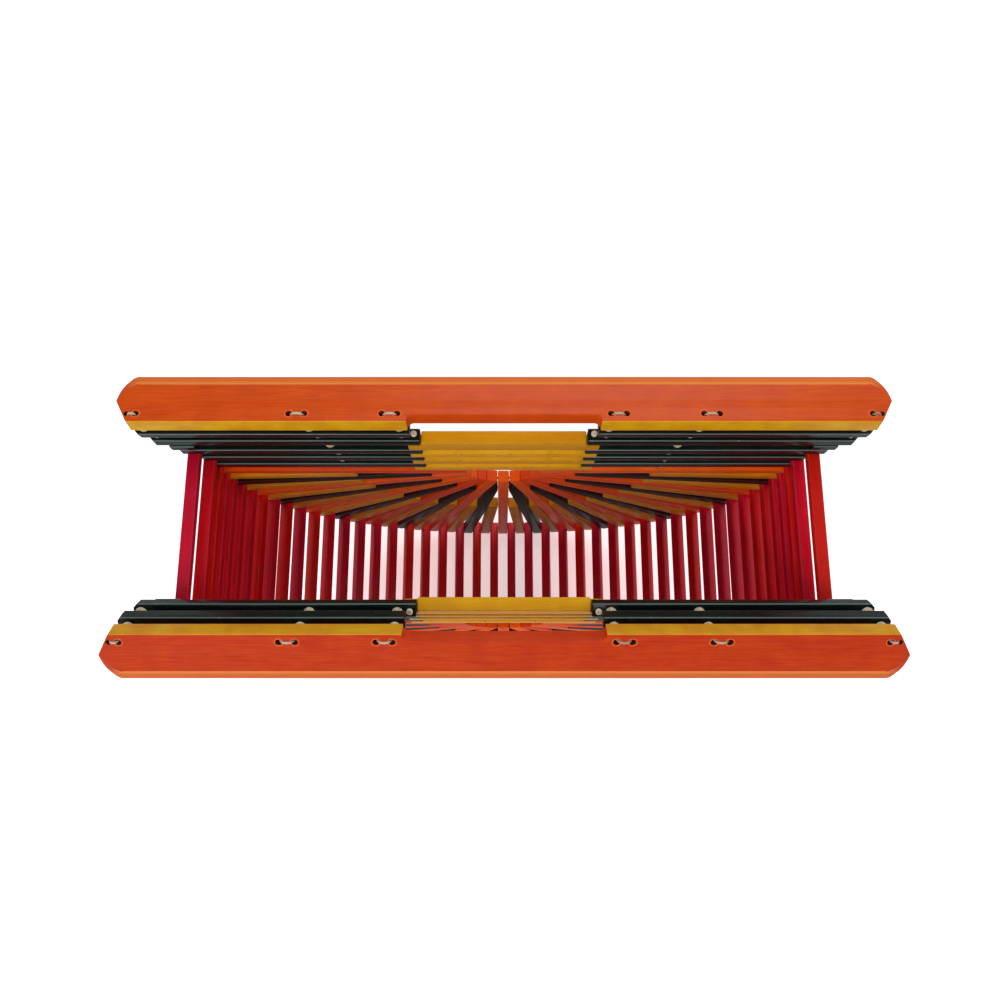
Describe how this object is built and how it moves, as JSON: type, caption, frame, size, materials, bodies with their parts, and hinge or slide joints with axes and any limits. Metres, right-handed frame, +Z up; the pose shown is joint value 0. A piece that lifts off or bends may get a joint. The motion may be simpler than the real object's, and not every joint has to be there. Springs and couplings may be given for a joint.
{
  "type": "wooden slat handbag",
  "caption": "Half-drum handbag of painted wooden sticks strung on cord, standing open, with two folding flaps that end in handle boards with a hand slot.",
  "frame": {"origin": "bottom centre of the whole bag as it stands open on its curved base", "axes": "+Z up, X along the handle boards, front wall towards -Y, back wall towards +Y"},
  "size_m": [0.3764, 0.146, 0.2466],
  "materials": {
    "orange_board": "glossy orange paint over wood, faint brush lines, inner edge painted yellow",
    "green_slat": "glossy very dark green paint over wood",
    "yellow_slat": "glossy yellow paint over wood, worn in specks",
    "orange_rib": "glossy orange paint over wood",
    "dark_rib": "glossy black-brown paint over wood",
    "ochre_rib": "glossy ochre paint over wood",
    "red_slat": "glossy crimson paint over wood",
    "bead": "off-white round wooden bead",
    "cord": "off-white twisted cord"
  },
  "bodies": {
    "root": {"back_corner_spacers": "green_slat", "back_fifth_centre_slat": "yellow_slat", "back_fifth_side_slats": "green_slat", "back_fourth_centre_slat": "yellow_slat", "back_fourth_side_slats": "green_slat", "back_hub_cord": "cord", "back_long_ribs": "orange_rib", "back_lower_beads": "bead", "back_medium_rib_cord": "cord", "back_medium_ribs": "dark_rib", "back_outer_cord": "cord", "back_second_centre_slat": "yellow_slat", "back_short_rib_cord": "cord", "back_short_ribs": "ochre_rib", "back_third_centre_slat": "yellow_slat", "back_third_side_slats": "green_slat", "back_top_centre_slat": "yellow_slat", "curved_wall_slats": "red_slat", "front_corner_spacers": "green_slat", "front_fifth_centre_slat": "yellow_slat", "front_fifth_side_slats": "green_slat", "front_fourth_centre_slat": "yellow_slat", "front_fourth_side_slats": "green_slat", "front_hub_cord": "cord", "front_long_ribs": "orange_rib", "front_lower_beads": "bead", "front_medium_rib_cord": "cord", "front_medium_ribs": "dark_rib", "front_outer_cord": "cord", "front_second_centre_slat": "yellow_slat", "front_short_rib_cord": "cord", "front_short_ribs": "ochre_rib", "front_third_centre_slat": "yellow_slat", "front_third_side_slats": "green_slat", "front_top_centre_slat": "yellow_slat", "upper_end_slats": "red_slat"},
    "front_second_course": {"front_second_side_slats": "green_slat", "front_second_beads": "bead", "front_second_cords": "cord"},
    "front_top_course": {"front_top_side_slats": "green_slat", "front_top_beads": "bead", "front_top_cords": "cord"},
    "front_handle": {"front_handle_board": "orange_board", "front_board_stitches": "cord"},
    "back_second_course": {"back_second_side_slats": "green_slat", "back_second_beads": "bead", "back_second_cords": "cord"},
    "back_top_course": {"back_top_side_slats": "green_slat", "back_top_beads": "bead", "back_top_cords": "cord"},
    "back_handle": {"back_handle_board": "orange_board", "back_board_stitches": "cord"}
  },
  "joints": [
    {"name": "front_flap_fold", "type": "hinge", "parent": "root", "child": "front_second_course", "pos_m": [0, -0.03701, 0.21044], "axis": [-1, 0, 0], "range_deg": [0, 58]},
    {"name": "front_top_course_fold", "type": "hinge", "parent": "front_second_course", "child": "front_top_course", "pos_m": [0, -0.04199, 0.2198], "axis": [-1, 0, 0], "range_deg": [0, 42]},
    {"name": "front_handle_fold", "type": "hinge", "parent": "front_top_course", "child": "front_handle", "pos_m": [0, -0.05015, 0.22953], "axis": [-1, 0, 0], "range_deg": [0, 33]},
    {"name": "back_flap_fold", "type": "hinge", "parent": "root", "child": "back_second_course", "pos_m": [0, 0.04849, 0.21044], "axis": [1, 0, 0], "range_deg": [-20, 33]},
    {"name": "back_top_course_fold", "type": "hinge", "parent": "back_second_course", "child": "back_top_course", "pos_m": [0, 0.04905, 0.22103], "axis": [1, 0, 0], "range_deg": [-13.94, 23]},
    {"name": "back_handle_fold", "type": "hinge", "parent": "back_top_course", "child": "back_handle", "pos_m": [0, 0.04816, 0.2337], "axis": [1, 0, 0], "range_deg": [-28.49, 47]}
  ],
  "couplings": [
    {"joint": "front_top_course_fold", "follows": "front_flap_fold", "ratio": 0.72414},
    {"joint": "front_handle_fold", "follows": "front_flap_fold", "ratio": 0.56897},
    {"joint": "back_top_course_fold", "follows": "back_flap_fold", "ratio": 0.69697},
    {"joint": "back_handle_fold", "follows": "back_flap_fold", "ratio": 1.4242}
  ]
}
